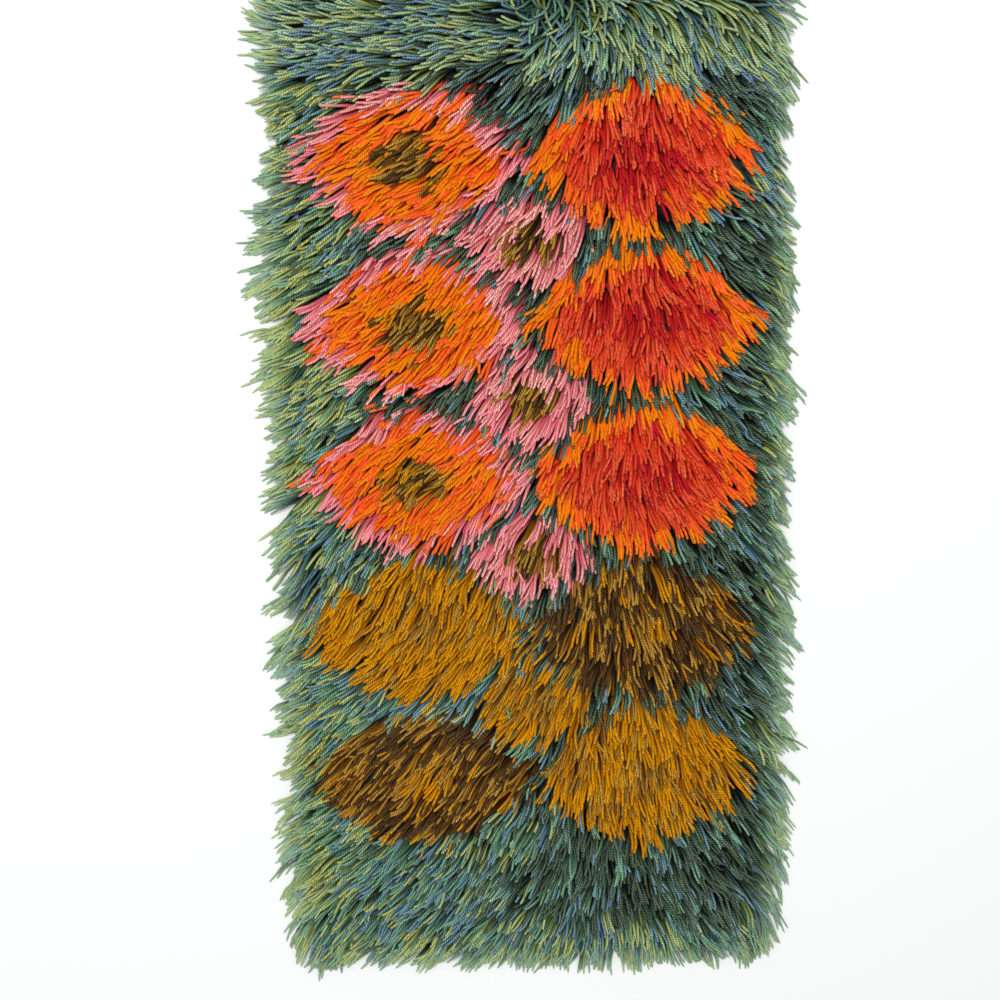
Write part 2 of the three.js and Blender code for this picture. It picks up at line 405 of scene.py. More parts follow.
cloth = {
    "width": 428 * mm,
    "length": 940 * mm,
    "thickness": 3 * mm,
    "ripple": 1.6 * mm,
    "rippleTurns": 3.2,
    "sides": {"left": (2 * mm, 0.4), "right": (6 * mm, 2.1)},   # swell and the ripple's start
    "columns": 30,
    "rows": 60,
    "rimShare": 0.25,         # of its thickness, left at its very edge
    "edgeRound": (0.0, 0.6),  # how much of the rest is back at the edge and one row in
    "lift": 0.05 * mm,        # off the floor
    "colour": (150, 148, 120),
    # the knots' green, darkened as painted shade for the bottom of the pile
    "shadedKnotColour": (40, 50, 40),
    "warpPitch": 2.6 * mm,
    "weftPitch": 1.5 * mm,
    "weaveHeight": 0.5,       # millimetres
    "weaveShade": (0.55, 1.0),
    "unevenScale": 90.0,
    "unevenNoise": (0.3, 0.7),
    "unevenShade": (0.85, 1.12),
    "roughness": 0.9,
    "sheen": 0.15,
}


def clothEdge(y, side):
    swell, start = cloth["sides"][side]
    share = y / cloth["length"]
    ripple = cloth["ripple"] * np.sin(2 * np.pi * cloth["rippleTurns"] * share + start)
    return cloth["width"] / 2 + swell * np.cos(np.pi * share) + ripple


def placeInFrame():
    places = 801
    along = np.linspace(-0.5, 0.5, places) * cloth["length"]
    lopsided = clothEdge(along, "right").max() - clothEdge(along, "left").max()
    return np.array([clothMiddle.x - lopsided / 2, clothMiddle.y, 0.0])


rugPlace = placeInFrame()


def smooth(value, low, high):
    share = np.clip((value - low) / (high - low), 0, 1)
    return share * share * (3 - 2 * share)


noiseSeeds = {
    # each kind of unevenness has a field of its own
    "lean": 11,
    "wave": 12,
    "bandLean": 13,
    "topLean": 14,
    "lumps": 21,
    "ground": 31,
    "patches": 41,            # and the next eleven, one for each yarn
    "shade": 77,
    "locks": 91,
    "dyeLot": 92,
}


def softNoise(x, y, size, kind, number=0):
    # gentle unevenness from -1 to 1, about size across
    cells = 61
    start = (211.3, 307.7)    # the rug's middle, in cells
    table = np.random.default_rng(noiseSeeds[kind] + number).uniform(-1, 1, (cells, cells))
    acrossPlace, alongPlace = x / size + start[0], y / size + start[1]
    column, row = np.floor(acrossPlace).astype(int), np.floor(alongPlace).astype(int)
    across, along = acrossPlace - column, alongPlace - row
    across, along = across * across * (3 - 2 * across), along * along * (3 - 2 * along)
    column, row = column % cells, row % cells
    nextColumn, nextRow = (column + 1) % cells, (row + 1) % cells
    near = table[column, row] * (1 - across) + table[nextColumn, row] * across
    far = table[column, nextRow] * (1 - across) + table[nextColumn, nextRow] * across
    return near * (1 - along) + far * along


# How the pile is combed and how thick it lies

nap = {
    # angles from straight down the rug, positive towards its right side
    "across": (-0.24, -0.10, 0.0, 0.075, 0.11, 0.165, 0.215, 0.24, 0.26),
    "turns": (-58, -47, -32, 0, 10, 27, 48, 43, 32),
    # the left half leans more or less along the rug
    "along": (-0.42, -0.32, -0.19, -0.13, -0.08, 0.0, 0.10, 0.27, 0.37),
    "alongTurn": (0.9, 0.95, 1.0, 0.66, 0.66, 1.0, 1.03, 1.12, 1.30),
    # the lowest strands bend down again: where that starts and ends along and across the rug
    "corners": (((0.34, 0.43), (0.228, 0.262)), ((0.42, 0.47), (0.17, 0.24))),
    "cornerTurn": (0.50, 0.20),   # share of the lean left there, at the left and the right side
    "bandStart": 0.385,
    "bandEdge": (-8 * mm, 12 * mm),
    "bandAcross": (-0.25, -0.17, -0.06, 0.0, 0.05, 0.10, 0.16, 0.25),
    "bandTurns": (-99, -84, -84, -70, -14, 28, 24, 42),
    "topStart": 0.420,
    "topEnd": 0.468,
    "topPower": 1.5,
    "topAcross": (-0.22, -0.16, -0.02, 0.017, 0.019, 0.056, 0.16, 0.22),
    "topTurns": (-140, -118, -112, -150, 150, 112, 116, 132),
    "partingFrom": (0.415, 0.445),
    "partingCross": 20 * mm,  # strands of both sides cross each other over the parting
    "whorl": (0.018, 0.450),  # and lie all ways round its start
    "whorlSize": 22 * mm,
    "whorlTurn": 75,
    "lockUneven": 12,
    "lockSize": 19 * mm,
    "bandLockSize": 16 * mm,
    "waveUneven": 7,
    "waveSize": 62 * mm,
    "rimCalm": 0.55,          # the fringe is combed more evenly
    "calmFrom": -10 * mm,
    "calmTo": 25 * mm,
}
pile = {
    "top": 25 * mm,
    "lump": 3.0 * mm,
    "lumpSize": 34 * mm,
    "bandRise": 6 * mm,
    "bandSlope": (-15 * mm, 25 * mm),
    "rimReach": 40 * mm,      # the pile runs this far past the cloth
    "rimSoftness": 28 * mm,
    "cornerSoftness": 14 * mm,
    "fringe": (7 * mm, 32 * mm),      # past the cloth, the tips turn thin, and paler with painted light, between these
    "length": 48 * mm,
    "bandLength": 54 * mm,
    "bandLengthens": (-5 * mm, 15 * mm),
    "bandInset": 30 * mm,
    "rimLength": 50 * mm,
    "rimZone": 40 * mm,
    # how much longer or shorter the strands of each side are, along the rug
    "sideReach": 45 * mm,
    "sides": {
        "left": {
            "along": (-0.475, -0.45, -0.42, -0.36, -0.30, -0.22, -0.17, -0.13, -0.08, -0.02,
                      0.03, 0.08, 0.13, 0.18, 0.225, 0.27, 0.315, 0.345, 0.385, 0.42),
            "times": (0.90, 1.24, 1.46, 1.32, 1.22, 1.02, 1.04, 1.46, 1.50, 1.24,
                      1.10, 0.96, 1.26, 1.04, 1.52, 1.16, 0.86, 0.60, 0.88, 1.04),
        },
        "right": {
            "along": (-0.46, -0.42, -0.34, -0.27, -0.19, -0.11, 0.0, 0.08,
                      0.13, 0.18, 0.25, 0.30, 0.38, 0.41, 0.43, 0.46),
            "times": (0.98, 1.62, 1.52, 1.46, 1.22, 1.38, 1.02, 0.98,
                      1.38, 1.04, 1.10, 0.94, 0.96, 1.36, 1.26, 0.98),
        },
    },
}


def fromEdge(x, y):
    # distance inside the cloth's edge, less than nothing outside it, with soft corners
    side = np.minimum(x + clothEdge(y, "left"), clothEdge(y, "right") - x)
    end = cloth["length"] / 2 - np.abs(y)
    soft = pile["cornerSoftness"]
    blend = np.clip(0.5 + (end - side) / (2 * soft), 0, 1)
    return end * (1 - blend) + side * blend - soft * blend * (1 - blend)


def napLean(x, y):
    # angle from straight down the rug, positive towards +X, in radians
    lean = np.interp(x, nap["across"], nap["turns"])
    lean = np.where(lean < 0, lean * np.interp(y, nap["along"], nap["alongTurn"]), lean)
    corner = np.zeros(len(x))
    for down, aside in nap["corners"]:
        corner = np.maximum(corner, smooth(-y, *down) * smooth(np.abs(x), *aside))
    lean = lean * (1 - (1 - np.where(x < 0, *nap["cornerTurn"])) * corner)
    calm = nap["rimCalm"] * smooth(-fromEdge(x, y), nap["calmFrom"], nap["calmTo"])
    lock = nap["lockUneven"] * (1 - calm)
    lean += lock * softNoise(x, y, nap["lockSize"], "lean")
    lean += nap["waveUneven"] * softNoise(x, y, nap["waveSize"], "wave")
    inBand = smooth(y - nap["bandStart"], *nap["bandEdge"])
    band = np.interp(x, nap["bandAcross"], nap["bandTurns"])
    band += lock * softNoise(x, y, nap["bandLockSize"], "bandLean")
    lean = lean * (1 - inBand) + band * inBand
    atTop = np.clip((y - nap["topStart"]) / (nap["topEnd"] - nap["topStart"]), 0, 1) ** nap["topPower"]
    top = np.interp(x, nap["topAcross"], nap["topTurns"])
    top += lock * softNoise(x, y, nap["bandLockSize"], "topLean")
    return np.radians(lean * (1 - atTop) + top * atTop)


def pileTop(x, y):
    fall = 1 - np.exp(-np.clip(fromEdge(x, y) + pile["rimReach"], 0, None) / pile["rimSoftness"])
    inBand = smooth(y - nap["bandStart"], *pile["bandSlope"])
    lumps = pile["lump"] * softNoise(x, y, pile["lumpSize"], "lumps")
    return fall * (pile["top"] + lumps + pile["bandRise"] * inBand)


# The pattern: a lattice of lozenges in each place's own blend of yarns

blends = {
    "pinkRim": {"pink": 0.85, "orange": 0.15},
    "pinkBody": {"orange": 0.46, "amber": 0.54},
    "pinkCore": {"olive": 0.50, "ochre": 0.18, "brown": 0.32},
    "redRim": {"amber": 0.52, "orange": 0.48},
    "redBody": {"red": 0.88, "crimson": 0.12},
    "redCore": {"crimson": 0.70, "red": 0.30},
    "warmRing": {"pink": 1.0},
    "warmCore": {"olive": 0.75, "brown": 0.25},
    "ochreBody": {"ochre": 0.78, "olive": 0.22},
    "ochreCore": {"olive": 0.70, "ochre": 0.30},
    "brownBody": {"brown": 0.56, "ochre": 0.08, "olive": 0.36},
    "brownCore": {"ochre": 0.25, "olive": 0.75},
    "topBand": {"lime": 0.42, "sea_green": 0.33, "blue": 0.20, "deep_green": 0.05},
    "leftMargin": {"lime": 0.45, "sea_green": 0.27, "blue": 0.15, "deep_green": 0.13},
    "lowerLeft": {"lime": 0.14, "sea_green": 0.35, "blue": 0.35, "deep_green": 0.16},
    "shadow": {"deep_green": 0.82, "sea_green": 0.11, "blue": 0.07},
    "rightMargin": {"sea_green": 0.40, "lime": 0.20, "blue": 0.20, "deep_green": 0.20},
    "bottomEdge": {"lime": 0.33, "sea_green": 0.41, "blue": 0.19, "deep_green": 0.07},
}
# each band of a lozenge runs out to a share of its half size
lozengeBands = {
    "pink": (("pinkCore", 0.34), ("pinkBody", 0.77), ("pinkRim", 1.0)),
    "red": (("redCore", 0.34), ("redBody", 0.77), ("redRim", 1.0)),
    "warm": (("warmCore", 0.46), ("warmRing", 1.0)),
    "ochre": (("ochreCore", 0.30), ("ochreBody", 1.0)),
    "brown": (("brownCore", 0.28), ("brownBody", 1.0)),
}
ground = {
    "wander": 12 * mm,        # the edges between the blends are uneven
    "wanderSize": 40 * mm,
    # from none to all of a blend, in metres to the left, right, bottom or top of the rug's middle
    "zones": {
        "lowerLeft": {"left": (-40 * mm, 60 * mm), "bottom": (60 * mm, 140 * mm)},
        "leftMargin": {"left": (146 * mm, 182 * mm)},
        "rightMargin": {"right": (222 * mm, 242 * mm)},
        "bottomEdge": {"bottom": (444 * mm, 472 * mm)},
        "topBand": {"top": (374 * mm, 384 * mm)},
    },
    "topWander": 0.4,
}
lattice = {
    "firstRow": 306 * mm,
    "rowPitch": 150 * mm,
    "roundness": 1.5,         # 1 is a straight-sided lozenge, 2 an ellipse
    "patches": 1.5,           # how strongly neighbours in a row share a yarn
    "patchSize": 19 * mm,
    "outer": {
        "middles": (-110 * mm, 110 * mm), "halfWidth": 108 * mm, "halfHeight": 71 * mm, "start": 0.0,
        "rows": (("pink", "red"), ("pink", "red"), ("pink", "red"),
                 ("ochre", "brown"), ("brown", "ochre")),
    },
    "inner": {
        "middles": (0.0,), "halfWidth": 58 * mm, "halfHeight": 42 * mm, "start": 0.5,
        "rows": (("warm",), ("warm",), ("warm",), ("ochre",)),
    },
}
yarnNames = list(yarns)
groundYarns = ("lime", "sea_green", "blue", "deep_green")   # the others are the pattern's


def weightsOf(blend):
    return np.array([blends[blend].get(name, 0.0) for name in yarnNames])


def groundWeights(x, y):
    # the ground runs from light green at the left and top to deep green inside
    wander = ground["wander"] * softNoise(x, y, ground["wanderSize"], "ground")
    out = {"left": -x + wander, "right": x + wander, "bottom": -y + wander,
           "top": y + ground["topWander"] * wander}
    weights = np.tile(weightsOf("shadow"), (len(x), 1))
    for blend, zone in ground["zones"].items():
        share = np.ones(len(x))
        for way, limits in zone.items():
            share *= smooth(out[way], *limits)
        weights = weights * (1 - share[:, None]) + weightsOf(blend) * share[:, None]
    return weights


def patternWeights(x, y):
    weights = groundWeights(x, y)
    for column in ("outer", "inner"):
        shape = lattice[column]
        for number, kinds in enumerate(shape["rows"]):
            middleY = lattice["firstRow"] - (number + shape["start"]) * lattice["rowPitch"]
            for kind, middleX in zip(kinds, shape["middles"]):
                across = (np.abs(x - middleX) / shape["halfWidth"]) ** lattice["roundness"]
                along = (np.abs(y - middleY) / shape["halfHeight"]) ** lattice["roundness"]
                size = (across + along) ** (1 / lattice["roundness"])
                inner = 0.0
                for blend, outer in lozengeBands[kind]:
                    weights[(size >= inner) & (size < outer)] = weightsOf(blend)
                    inner = outer
    for number in range(len(yarnNames)):
        patches = softNoise(x, y, lattice["patchSize"], "patches", number)
        weights[:, number] *= np.exp(lattice["patches"] * patches)
    return weights / weights.sum(1, keepdims=True)


# Knots and the strands they hold

knots = {
    "rowPitch": 12 * mm,
    "topRowPitch": 9.5 * mm,  # the rows are closer where the pile parts at the top end
    "topRowsFrom": 0.405,
    "pitch": 5.7 * mm,
    "strands": 3,
    "edgeStrands": 5,         # the outer knots are fuller
    "ownYarn": 0.50,          # share of the strands that keep to their knot's first yarn
    "edgeZone": 14 * mm,
    "endInset": 6 * mm,
    "sideInset": 4 * mm,
    "uneven": 1.3 * mm,
    "seed": 2026,
}
strand = {
    "radius": 1.65 * mm,
    "warmRadius": 1.70 * mm,  # the pattern's yarns are a little fuller
    "sides": 5,
    "ringShares": (0.0, 0.24, 0.44, 0.64, 0.82, 0.965, 1.0),
    "ringGirths": (0.0, 0.92, 0.97, 1.0, 0.98, 0.74, 0.0),
    "rimThinning": 0.34,      # the outermost tips are thinner
    "steps": 15,
    "rise": 0.88,             # 1 climbs evenly, less climbs sooner
    "rootLift": 0.6 * mm,     # keeps it off the cloth
    "floorGap": 0.1 * mm,
    "steepest": (-0.8, 0.9),  # down and up, as shares of a step
    "seenShare": 0.74,        # about here a strand shows on top
    "seenLayer": 0.9,         # at a middling height in the pile
    "apart": 1.8 * mm,        # between the strands of a knot, across
    "rootUneven": (0.6 * mm, 2.4 * mm),   # across and along the rug
    "layer": (0.86, 0.95),    # a knot's height, as a share of the pile
    "layerStep": 0.085,       # and between its strands
    "lockTurn": 6.5,          # degrees, all strands of a knot together
    "ownTurn": 2.6,
    "lockCurl": 10,           # bending over a strand's length, together and on their own
    "ownCurl": 7,
    "curlFrom": 0.4,          # the share of its length where it leans as it is combed
    "curlMost": 2,            # standard deviations
    "sway": 9,                # the strands of a knot wave together
    "swayUneven": (0.5, 1.3),
    "swayTurns": 1.1,
    "phaseUneven": 0.5,
    "liftUneven": 0.8 * mm,
    "strayShare": 0.012,
    "strayTurn": 20,
    "strayLift": 3.5 * mm,
    "lengthUneven": 0.05,
    "lockSize": 12 * mm,      # knots lie in locks, higher and lower by turns
    "lockShortening": 0.6,    # and a lock is longer than it is wide
    "lockStep": 0.10,
    "weldWithin": 0.002 * mm,
}
shades = {
    "middle": 0.54,
    "ownUneven": 0.09,
    "knotUneven": 0.10,
    "patches": 0.10,
    "patchSize": 30 * mm,
    "above": 0.18,            # painted light: the strands on top are lighter
    "lock": 0.26,             # and so are the locks that lie high, painted light too
}
dyeLots = {
    # one dye lot runs through neighbours: yellower down the left side, bluer in the top band
    "start": 0.1,
    "ownSpread": 0.8,
    "patches": 0.24,
    "patchSize": 26 * mm,
    "left": -0.22,
    "leftEdge": (130 * mm, 190 * mm),
    "top": 0.30,
    "topEdge": (370 * mm, 390 * mm),
}


def tieKnots():
    random = np.random.default_rng(knots["seed"])
    half = cloth["length"] / 2 - knots["endInset"]
    rows = int(round((knots["topRowsFrom"] + half) / knots["rowPitch"]))
    topRows = int(round((half - knots["topRowsFrom"]) / knots["topRowPitch"])) + 1
    levels = np.append(np.linspace(-half, knots["topRowsFrom"], rows, endpoint=False),
                       np.linspace(knots["topRowsFrom"], half, topRows))
    places = []
    for y in levels:
        left = -clothEdge(y, "left") + knots["sideInset"]
        right = clothEdge(y, "right") - knots["sideInset"]
        count = int(round((right - left) / knots["pitch"])) + 1
        places.append(np.column_stack([np.linspace(left, right, count), np.full(count, y)]))
    places = np.concatenate(places)
    return places + random.normal(0, knots["uneven"], places.shape)


def growStrands(x, y, length, layer, turn, curl, lift, sway, phase, aside):
    # follows the combing from each root, in small steps, and returns every strand's points
    steps = strand["steps"]
    lowest = strand["radius"] + strand["floorGap"]
    z = np.full(len(x), cloth["thickness"])
    points = [np.column_stack([x, y, z])]
    piece = length / steps
    for step in range(steps):
        share = (step + 1) / steps
        lean = napLean(x + aside, y) + turn + curl * (share - strand["curlFrom"])
        lean += sway * np.sin(2 * np.pi * strand["swayTurns"] * share + phase)
        level = (pileTop(x, y) - cloth["thickness"]) * layer + lift * share ** 3
        wanted = cloth["thickness"] * (1 - share) + level * share ** strand["rise"] + strand["rootLift"]
        down, up = strand["steepest"]
        climb = np.clip(np.maximum(wanted, lowest) - z, down * piece, up * piece)
        run = np.sqrt(piece ** 2 - climb ** 2)
        x, y, z = x + run * np.sin(lean), y - run * np.cos(lean), z + climb
        points.append(np.column_stack([x, y, z]))
    return np.stack(points, 1)


def ringPoints(paths):
    # the strand's rings at their shares of its length
    places = np.array(strand["ringShares"]) * strand["steps"]
    before = np.minimum(places.astype(int), strand["steps"] - 1)
    between = (places - before)[None, :, None]
    return paths[:, before] * (1 - between) + paths[:, before + 1] * between


def knotLengths(roots, edge, inside):
    # strands are longer in the band at the top end, and longer or shorter along each side
    inBand = smooth(roots[:, 1] - nap["bandStart"], *pile["bandLengthens"])
    length = pile["rimLength"] + (pile["length"] - pile["rimLength"]) * inside
    length += (pile["bandLength"] - pile["length"]) * inBand * smooth(edge, 0, pile["bandInset"])
    for side, toSide in (("left", roots[:, 0] + clothEdge(roots[:, 1], "left")),
                         ("right", clothEdge(roots[:, 1], "right") - roots[:, 0])):
        reach = pile["sides"][side]
        factor = np.interp(roots[:, 1], reach["along"], reach["times"])
        length *= 1 + (factor - 1) * (1 - smooth(toSide, 0, pile["sideReach"]))
    return length


def seenWeights(roots, length):
    # one plain strand from each knot shows at which place of the pattern its strands are seen
    nothing = np.zeros(len(roots))
    layer = nothing + strand["seenLayer"]
    middles = growStrands(roots[:, 0], roots[:, 1], length, layer, *[nothing] * 6)
    seen = middles[:, int(strand["seenShare"] * strand["steps"])]
    return patternWeights(seen[:, 0], seen[:, 1])


def drawYarns(weights, home, random, dyer):
    # each strand draws its own yarn, but some of them keep to their knot's first one
    picked = (random.random(len(home))[:, None] > np.cumsum(weights[home], 1)).sum(1)
    first = (dyer.random(len(weights))[:, None] > np.cumsum(weights, 1)).sum(1)
    picked = np.where(dyer.random(len(home)) < knots["ownYarn"], first[home], picked)
    return np.minimum(picked, len(yarnNames) - 1)


def placesInKnots(each, home, random):
    # a knot's strands lie side by side and one above another, in mixed order
    total = len(home)
    start = (np.cumsum(each) - each)[home]
    middle = (each[home] - 1) / 2
    order = np.empty(total)
    order[np.argsort(home + random.random(total))] = np.arange(total)
    return np.arange(total) - start - middle, order - start - middle, middle


def drawTurns(x, y, home, inside, random):
    # how far each strand is turned from the combing, most of all at the whorl, and which ones stray
    count, total = len(inside), len(home)
    turn = random.normal(0, strand["ownTurn"], total)
    turn = np.radians(turn + random.normal(0, strand["lockTurn"], count)[home])
    aside = nap["partingCross"] * smooth(y, *nap["partingFrom"]) * random.normal(0, 1, total)
    fromWhorl = np.hypot(x - nap["whorl"][0], y - nap["whorl"][1]) / nap["whorlSize"]
    turn += np.radians(nap["whorlTurn"]) * np.exp(-fromWhorl ** 2) * random.normal(0, 1, total)
    stray = random.random(total) < strand["strayShare"]
    turn += np.where(stray, np.radians(random.normal(0, strand["strayTurn"], total)), 0) * inside[home]
    return turn, aside, stray


def drawBends(home, inside, stray, random, dyer):
    # how each strand curls, lifts and waves over its length
    count, total = len(inside), len(home)
    most = strand["curlMost"]
    curl = np.radians(strand["ownCurl"]) * np.clip(random.normal(0, 1, total), -most, most)
    lockCurl = np.clip(dyer.normal(0, 1, count), -most, most) * (1 - nap["rimCalm"] * (1 - inside))
    curl += np.radians(strand["lockCurl"]) * lockCurl[home]
    strayLift = random.uniform(0, strand["strayLift"], total)
    lift = np.where(stray, strayLift, random.normal(0, strand["liftUneven"], total))
    sway = np.radians(strand["sway"]) * random.uniform(*strand["swayUneven"], total)
    phase = random.uniform(0, 2 * np.pi, count)[home] + random.normal(0, strand["phaseUneven"], total)
    return curl, lift, sway, phase


def drawShades(x, y, above, lock, home, count, random, dyer):
    # each strand's tone differs at random, and painted light makes the strands and locks on top lighter
    shade = random.normal(shades["middle"], shades["ownUneven"], len(home))
    shade += dyer.normal(0, shades["knotUneven"], count)[home]
    shade += shades["patches"] * softNoise(x, y, shades["patchSize"], "shade")
    shade += shades["above"] * above + shades["lock"] * lock
    return np.clip(shade, 0, 1)


def drawHues(x, y, random):
    hue = random.random(len(x)) * dyeLots["ownSpread"] + dyeLots["start"]
    hue += dyeLots["patches"] * softNoise(x, y, dyeLots["patchSize"], "dyeLot")
    hue += dyeLots["left"] * smooth(-x, *dyeLots["leftEdge"])
    hue += dyeLots["top"] * smooth(y, *dyeLots["topEdge"])
    return np.clip(hue, 0, 1)


def planStrands():
    roots = tieKnots()
    random = np.random.default_rng(knots["seed"] + 1)
    dyer = np.random.default_rng(knots["seed"] + 2)
    count = len(roots)
    edge = fromEdge(roots[:, 0], roots[:, 1])
    inside = smooth(edge, 0, pile["rimZone"])
    each = np.where(edge < knots["edgeZone"], knots["edgeStrands"], knots["strands"])
    home = np.repeat(np.arange(count), each)      # the knot of each strand
    total = len(home)
    knotLength = knotLengths(roots, edge, inside)
    yarn = drawYarns(seenWeights(roots, knotLength), home, random, dyer)
    beside, above, middle = placesInKnots(each, home, random)

    across, along = strand["rootUneven"]
    x = roots[home, 0] + strand["apart"] * beside + random.uniform(-across, across, total)
    y = roots[home, 1] + random.uniform(-along, along, total)
    uneven = strand["lengthUneven"]
    length = knotLength[home] * random.normal(1, uneven, total) * random.normal(1, uneven, count)[home]
    shortened = roots[:, 1] * strand["lockShortening"]
    lock = softNoise(roots[:, 0], shortened, strand["lockSize"], "locks")[home]
    layer = random.uniform(*strand["layer"], count)[home]
    layer += strand["layerStep"] * above + strand["lockStep"] * lock
    turn, aside, stray = drawTurns(x, y, home, inside, random)
    curl, lift, sway, phase = drawBends(home, inside, stray, random, dyer)
    paths = growStrands(x, y, length, layer, turn, curl, lift, sway, phase, aside)
    return {
        "rings": ringPoints(paths),
        "length": length,
        "yarn": yarn,
        "shade": drawShades(x, y, above / middle, lock, home, count, random, dyer),
        "hue": drawHues(x, y, random),
    }


# Geometry Nodes: a strand of plied yarn along each guide

def makeStrandTree():
    inputs = {"Guides": "Geometry", "Strand Radius": "Float", "Sides": "Int", "Wool": "Material"}
    outputs = {"Strands": "Geometry"}
    tree, given, made, sockets = newGroup("strandsOnGuides", "GeometryNodeTree", inputs, outputs)

    def named(name):
        node = addNode(tree, "GeometryNodeInputNamedAttribute", data_type="FLOAT")
        node.inputs["Name"].default_value = name
        return node.outputs[0]

    def store(geometry, name, value, domain, kind):
        node = addNode(tree, "GeometryNodeStoreNamedAttribute", domain=domain, data_type=kind)
        plug(tree, geometry, node.inputs["Geometry"])
        node.inputs["Name"].default_value = name
        plug(tree, value, node.inputs["Value"])
        return node.outputs[0]

    lines = addNode(tree, "GeometryNodeMeshToCurve")
    plug(tree, given["Guides"], lines.inputs["Mesh"])

    # the section starts and ends at one place, so that the map has a seam there
    section = addNode(tree, "GeometryNodeCurveArc", mode="RADIUS")
    plug(tree, calc(tree, "ADD", given["Sides"], 1.0), section.inputs["Resolution"])
    setInputs(section, {"Radius": 1.0, "Start Angle": 0.0, "Sweep Angle": 2 * math.pi})
    factor = addNode(tree, "GeometryNodeSplineParameter").outputs["Factor"]
    ring = store(section.outputs["Curve"], "around", factor, "POINT", "FLOAT")
    tube = addNode(tree, "GeometryNodeCurveToMesh")
    plug(tree, lines.outputs[0], tube.inputs["Curve"])
    plug(tree, ring, tube.inputs["Profile Curve"])
    plug(tree, calc(tree, "MULTIPLY", named("girth"), given["Strand Radius"]), tube.inputs["Scale"])

    yarnPlace = joinVector(tree, named("around"), named("along"))
    mapped = store(tube.outputs[0], "yarnMap", yarnPlace, "CORNER", "FLOAT2")
    # a second map without overlaps, for baking
    cellX = calc(tree, "ADD", named("cellX"), calc(tree, "MULTIPLY", named("around"), named("cellWidth")))
    cellY = calc(tree, "ADD", named("cellY"), calc(tree, "MULTIPLY", named("share"), named("cellHeight")))
    mapped = store(mapped, "OFBake", joinVector(tree, cellX, cellY), "CORNER", "FLOAT2")
    closed = addNode(tree, "GeometryNodeMergeByDistance")
    plug(tree, mapped, closed.inputs["Geometry"])
    closed.inputs["Distance"].default_value = strand["weldWithin"]
    # how far each face points up, read by the painted shade on the strands' sides
    normal = splitVector(tree, addNode(tree, "GeometryNodeInputNormal").outputs[0])
    facing = store(closed.outputs[0], "upward", normal[2], "POINT", "FLOAT")
    rounded = addNode(tree, "GeometryNodeSetShadeSmooth")
    plug(tree, facing, rounded.inputs[0])
    real = addNode(tree, "GeometryNodeRealizeInstances")
    plug(tree, rounded.outputs[0], real.inputs[0])
    dressed = addNode(tree, "GeometryNodeSetMaterial")
    plug(tree, real.outputs[0], dressed.inputs["Geometry"])
    plug(tree, given["Wool"], dressed.inputs["Material"])
    plug(tree, dressed.outputs[0], made["Strands"])
    return tree, sockets


def makeGuides(name, rings, facts):
    # one chain of points for each strand, with what the tree reads from it
    count, size = rings.shape[:2]
    mesh = bpy.data.meshes.new(name + "_guides")
    starts = np.arange(count)[:, None] * size + np.arange(size - 1)[None, :]
    edges = np.stack([starts.ravel(), starts.ravel() + 1], 1)
    mesh.from_pydata((rings.reshape(-1, 3) + rugPlace).tolist(), edges.tolist(), [])
    for fact, values in facts.items():
        values = np.broadcast_to(values, (count, size)).astype(np.float32)
        mesh.attributes.new(fact, "FLOAT", "POINT").data.foreach_set("value", values.ravel())
    guides = bpy.data.objects.new(name + "_guides", mesh)
    bpy.context.collection.objects.link(guides)
    return guides


def bakeCells(count):
    # a narrow cell for each strand, side by side over the unit square
    tallness = 6
    marginAcross, marginAlong = 0.06, 0.04
    rows = max(1, int(math.sqrt(count / tallness)))
    columns = math.ceil(count / rows)
    number = np.arange(count)
    width, height = 1 / columns, 1 / rows
    return {
        "cellX": ((number % columns + marginAcross) * width)[:, None],
        "cellY": ((number // columns + marginAlong) * height)[:, None],
        "cellWidth": np.full((count, 1), (1 - 2 * marginAcross) * width),
        "cellHeight": np.full((count, 1), (1 - 2 * marginAlong) * height),
    }


def growPiece(name, guides, tree, sockets):
    # runs the tree on the guides, and keeps what it makes as a plain mesh
    modifier = guides.modifiers.new("strands", "NODES")
    modifier.node_group = tree
    modifier[sockets["Strand Radius"]] = strand["radius" if name in groundYarns else "warmRadius"]
    modifier[sockets["Sides"]] = strand["sides"]
    modifier[sockets["Wool"]] = yarnMaterials[name]
    bpy.context.view_layer.update()
    grown = guides.evaluated_get(bpy.context.evaluated_depsgraph_get())
    mesh = bpy.data.meshes.new_from_object(grown)
    mesh.name = "pile_" + name
    for helper in ("girth", "along", "around", "cellX", "cellY", "cellWidth", "cellHeight"):
        if helper in mesh.attributes:
            mesh.attributes.remove(mesh.attributes[helper])
    piece = bpy.data.objects.new("pile_" + name, mesh)
    bpy.context.collection.objects.link(piece)
    bpy.data.objects.remove(guides)
    return piece


def makePile():
    tree, sockets = makeStrandTree()
    plan = planStrands()
    shares = np.array(strand["ringShares"])[None, :]
    for number, name in enumerate(yarnNames):
        chosen = plan["yarn"] == number
        rings = plan["rings"][chosen]
        length, shade, hue = [plan[fact][chosen][:, None] for fact in ("length", "shade", "hue")]
        rim = smooth(-fromEdge(rings[..., 0], rings[..., 1]), *pile["fringe"])
        facts = {
            "girth": np.array(strand["ringGirths"])[None, :] * (1 - strand["rimThinning"] * rim),
            "along": shares * length + hue * wool["twist"],   # every strand's twist starts elsewhere
            "share": shares, "shade": shade, "hue": hue, "rim": rim,
            **bakeCells(len(rings)),
        }
        piece = growPiece(name, makeGuides(name, rings, facts), tree, sockets)
        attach(piece, "root")
        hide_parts("shag_pile")
        piece.data.calc_loop_triangles()
        print("pile", name, len(rings), "strands,", len(piece.data.loop_triangles), "triangles")


makePile()


# The ground cloth: one flat woven sheet under the knots

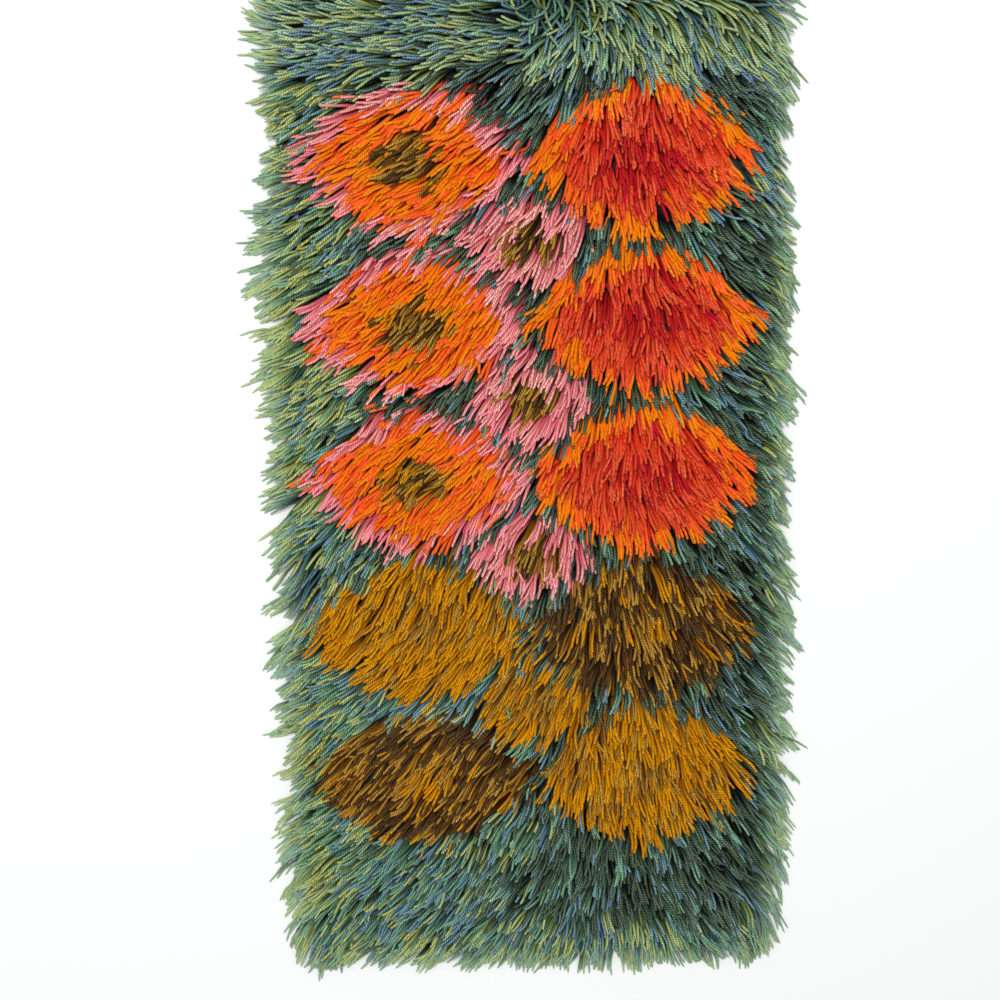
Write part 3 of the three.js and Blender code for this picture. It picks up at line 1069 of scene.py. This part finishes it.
def makeWeaveMaterial(values):
    material = bpy.data.materials.new("woven_ground")
    material.use_nodes = True
    tree = material.node_tree
    shader = tree.nodes["Principled BSDF"]
    place = addNode(tree, "ShaderNodeUVMap", uv_map="weaveMap").outputs[0]
    across, along = splitVector(tree, place)[:2]
    warpTurn, weftTurn = 2 * math.pi / values["warpPitch"], 2 * math.pi / values["weftPitch"]
    warp = calc(tree, "COSINE", calc(tree, "MULTIPLY", across, warpTurn))
    weft = calc(tree, "COSINE", calc(tree, "MULTIPLY", along, weftTurn))
    # the weft goes over and under the warp by turns
    height = spread(tree, calc(tree, "MULTIPLY", warp, weft), -1.0, 1.0)
    uneven = noise(tree, place, values["unevenScale"], 3.0)
    worn = spread(tree, uneven, *values["unevenNoise"], *values["unevenShade"])
    # painted shade: the low places of the weave are darker, and wear varies the tone at random
    shade = calc(tree, "MULTIPLY", spread(tree, height, 0.0, 1.0, *values["weaveShade"]), worn)
    bare = scaled(tree, linear(*values["colour"])[:3], shade)
    tied = scaled(tree, linear(*values["shadedKnotColour"])[:3], shade)
    plug(tree, mixColour(tree, attribute(tree, "knotSide"), bare, tied), shader.inputs["Base Color"])
    addBump(tree, calc(tree, "MULTIPLY", height, values["weaveHeight"]), shader)
    setInputs(shader, {"Roughness": values["roughness"], "Sheen Weight": values["sheen"]})
    return material


def shapeCloth():
    # a flat underside, and a top that rounds off at the selvedges and ends
    columns, rows = cloth["columns"], cloth["rows"]
    y = np.repeat((np.linspace(0, 1, rows + 1) - 0.5) * cloth["length"], columns + 1)
    left, right = -clothEdge(y, "left"), clothEdge(y, "right")
    x = left + (right - left) * np.tile(np.linspace(0, 1, columns + 1), rows + 1)
    column = np.tile(np.arange(columns + 1), rows + 1)
    row = np.repeat(np.arange(rows + 1), columns + 1)
    fromRim = np.minimum(np.minimum(column, columns - column), np.minimum(row, rows - row))
    rounding = np.append(cloth["edgeRound"], 1.0)[np.minimum(fromRim, len(cloth["edgeRound"]))]
    thickness = cloth["thickness"] * (cloth["rimShare"] + (1 - cloth["rimShare"]) * rounding)
    top = np.column_stack([x, y, thickness])
    under = np.column_stack([x, y, np.full(len(x), cloth["lift"])])
    return top, under, float(np.mean(right - left))


def clothFaces(columns, rows):
    # the top, the underside turned over, and the wall between their rims
    count = (columns + 1) * (rows + 1)
    corner = (np.arange(rows)[:, None] * (columns + 1) + np.arange(columns)[None, :]).ravel()
    face = np.column_stack([corner, corner + 1, corner + columns + 2, corner + columns + 1])
    rim = np.concatenate([
        np.arange(columns), np.arange(rows) * (columns + 1) + columns,
        count - 1 - np.arange(columns), np.arange(rows, 0, -1) * (columns + 1)])
    nextRim = np.roll(rim, -1)
    wall = np.column_stack([rim + count, nextRim + count, nextRim, rim])
    return np.concatenate([face, face[:, ::-1] + count, wall])


def makeCloth():
    top, under, width = shapeCloth()
    faces = clothFaces(cloth["columns"], cloth["rows"])
    count = len(top)
    mesh = bpy.data.meshes.new("woven_cloth")
    mesh.from_pydata((np.concatenate([top, under]) + rugPlace).tolist(), [], faces.tolist())
    mesh.polygons.foreach_set("use_smooth", np.ones(len(mesh.polygons), bool))
    weave = mesh.uv_layers.new(name="weaveMap")
    corners = np.empty(len(mesh.loops), int)
    mesh.loops.foreach_get("vertex_index", corners)
    weave.data.foreach_set("uv", top[corners % count, :2].ravel().astype(np.float32))
    # knots cover the top, in a dark green that is also painted shade down under the pile, and the
    # underside is bare
    side = mesh.attributes.new("knotSide", "FLOAT", "POINT")
    side.data.foreach_set("value", np.repeat([1.0, 0.0], count).astype(np.float32))
    mesh.materials.append(makeWeaveMaterial(cloth))
    piece = bpy.data.objects.new("woven_cloth", mesh)
    bpy.context.collection.objects.link(piece)
    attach(piece, "root")
    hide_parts("ground_weave")
    print("ground cloth", len(faces), "faces")


makeCloth()
